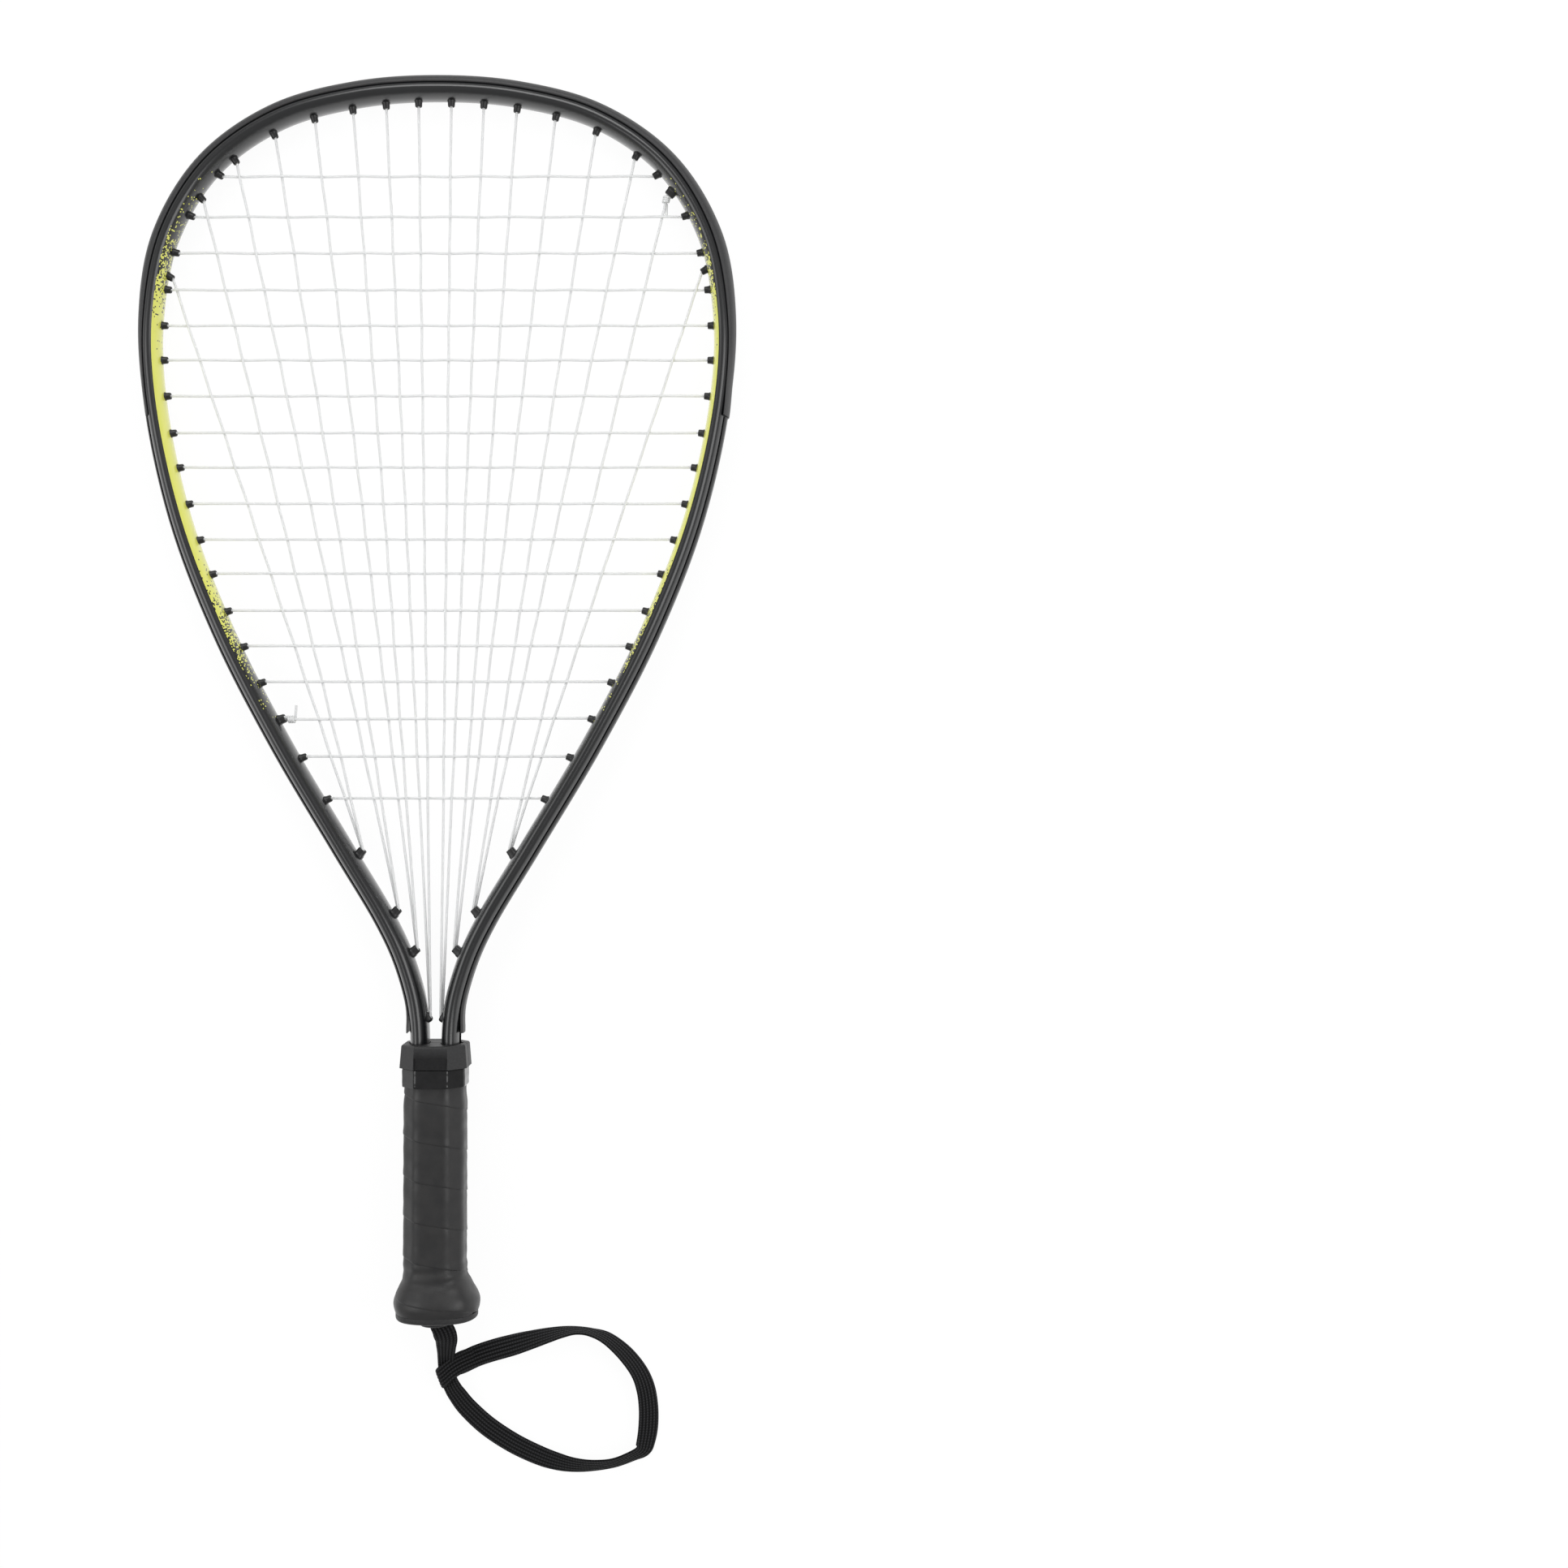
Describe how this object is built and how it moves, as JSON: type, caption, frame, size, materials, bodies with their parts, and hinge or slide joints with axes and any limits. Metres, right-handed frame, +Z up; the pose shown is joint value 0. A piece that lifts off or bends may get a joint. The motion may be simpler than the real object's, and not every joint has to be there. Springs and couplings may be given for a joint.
{
  "type": "racquetball racket",
  "caption": "Racquetball racket with a teardrop aluminium frame, one continuous string, a wrapped octagonal handle and a flat wrist cord, lying on a table.",
  "frame": {"origin": "on the table, under the middle of the racket's bounding box without its cord", "axes": "+Y towards the head, +Z up from the table, +X to the right with the head pointing away"},
  "size_m": [0.2694, 0.6341, 0.0345],
  "materials": {
    "frame_paint": "aluminium alloy under satin black enamel, with pale yellow enamel on the inner half of the upper frame",
    "bumper_nylon": "matte charcoal with a fine grain",
    "grommet_nylon": "satin black",
    "gut": "translucent white",
    "handle_plastic": "matte dark grey",
    "screw_steel": "zinc plated",
    "grip_foam": "smooth charcoal polyurethane tape with a slight sheen",
    "gloss_tape": "glossy black adhesive tape",
    "braid": "black braided flat cord"
  },
  "bodies": {
    "root": {"frame_tube": "frame_paint", "bumper_guard": "bumper_nylon", "left_cover_strip": "bumper_nylon", "right_cover_strip": "bumper_nylon", "head_grommet_strip": "grommet_nylon", "left_grommet_strip": "grommet_nylon", "right_grommet_strip": "grommet_nylon", "left_throat_grommet_strip": "grommet_nylon", "right_throat_grommet_strip": "grommet_nylon", "string_bed": "gut", "head_tie_knot": "gut", "side_tie_knot": "gut", "front_handle_shell": "handle_plastic", "back_handle_shell": "handle_plastic", "lower_handle_screw": "screw_steel", "upper_handle_screw": "screw_steel", "butt_cap": "handle_plastic", "butt_plug": "handle_plastic", "grip_wrap": "grip_foam", "finishing_tape": "gloss_tape", "cord_stopper_knot": "braid", "wrist_cord_stub": "braid", "wrist_cord_knot": "braid", "wrist_cord_loop": "braid"}
  },
  "joints": []
}
